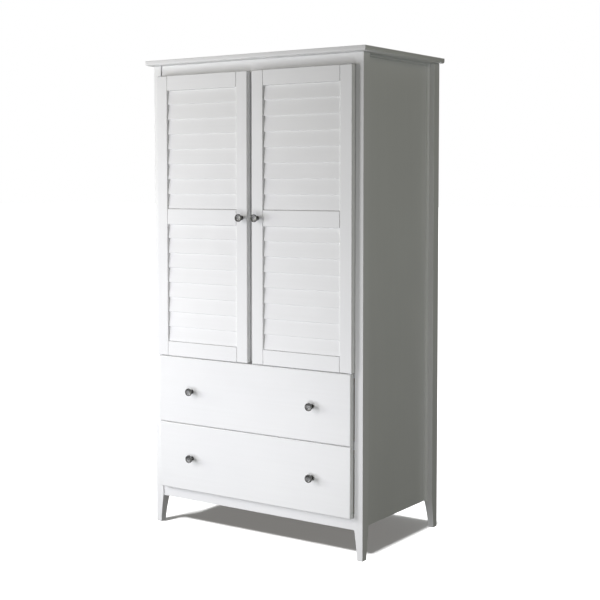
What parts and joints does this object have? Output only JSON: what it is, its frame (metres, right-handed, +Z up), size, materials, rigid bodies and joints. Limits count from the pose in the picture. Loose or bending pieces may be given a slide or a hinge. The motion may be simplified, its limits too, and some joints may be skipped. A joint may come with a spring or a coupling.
{
  "type": "armoire",
  "caption": "Free-standing armoire in white satin paint, with louvred doors over full-width drawers, recessed side panels, tapered feet and round metal knobs.",
  "frame": {"origin": "on the floor under the middle of the armoire's overall box, knobs included", "axes": "+Z up, the doors and drawers face -Y, +X to the right of someone facing the back wall from the front"},
  "size_m": [1.003, 0.6158, 1.829],
  "materials": {
    "white_paint": "white satin paint over wood",
    "inner_wood": "clear matt lacquer over pale wood",
    "pewter": "antique pewter, softly polished",
    "steel": "zinc-plated, plain",
    "chrome": "polished"
  },
  "bodies": {
    "case": {"top_board": "white_paint", "post_front_left": "white_paint", "post_front_right": "white_paint", "post_back_left": "white_paint", "post_back_right": "white_paint", "frieze_rail": "white_paint", "centre_stile": "white_paint", "middle_rail": "white_paint", "drawer_divider_rail": "white_paint", "apron_rail": "white_paint", "side_panel_left": "white_paint", "side_panel_right": "white_paint", "panel_bead_left": "white_paint", "panel_bead_right": "white_paint", "back_panel": "white_paint", "back_lower_rail": "white_paint", "compartment_floor": "white_paint", "hanging_rod": "chrome", "rod_socket_left": "chrome", "rod_socket_right": "chrome", "runner_upper_left": "inner_wood", "runner_upper_right": "inner_wood", "runner_lower_left": "inner_wood", "runner_lower_right": "inner_wood", "pivot_plate_left_top": "steel", "pivot_plate_left_bottom": "steel", "pivot_plate_right_top": "steel", "pivot_plate_right_bottom": "steel"},
    "door_left": {"door_left_hinge_stile": "white_paint", "door_left_lock_stile": "white_paint", "door_left_top_rail": "white_paint", "door_left_middle_rail": "white_paint", "door_left_bottom_rail": "white_paint", "door_left_louvres_upper": "white_paint", "door_left_louvres_lower": "white_paint", "door_left_knob": "pewter"},
    "door_right": {"door_right_hinge_stile": "white_paint", "door_right_lock_stile": "white_paint", "door_right_top_rail": "white_paint", "door_right_middle_rail": "white_paint", "door_right_bottom_rail": "white_paint", "door_right_louvres_upper": "white_paint", "door_right_louvres_lower": "white_paint", "door_right_knob": "pewter"},
    "drawer_upper": {"drawer_upper_front": "white_paint", "drawer_upper_side_left": "inner_wood", "drawer_upper_side_right": "inner_wood", "drawer_upper_back": "inner_wood", "drawer_upper_bottom": "inner_wood", "drawer_upper_knob_left": "pewter", "drawer_upper_knob_right": "pewter"},
    "drawer_lower": {"drawer_lower_front": "white_paint", "drawer_lower_side_left": "inner_wood", "drawer_lower_side_right": "inner_wood", "drawer_lower_back": "inner_wood", "drawer_lower_bottom": "inner_wood", "drawer_lower_knob_left": "pewter", "drawer_lower_knob_right": "pewter"}
  },
  "joints": [
    {"name": "door_left_hinge", "type": "hinge", "parent": "case", "child": "door_left", "pos_m": [-0.4368, -0.2726, 0.6754], "axis": [0, 0, -1], "range_deg": [0, 105]},
    {"name": "door_right_hinge", "type": "hinge", "parent": "case", "child": "door_right", "pos_m": [0.4368, -0.2726, 0.6754], "axis": [0, 0, 1], "range_deg": [0, 105]},
    {"name": "drawer_upper_slide", "type": "slide", "parent": "case", "child": "drawer_upper", "axis": [0, -1, 0], "range_m": [0, 0.36]},
    {"name": "drawer_lower_slide", "type": "slide", "parent": "case", "child": "drawer_lower", "axis": [0, -1, 0], "range_m": [0, 0.36]}
  ]
}
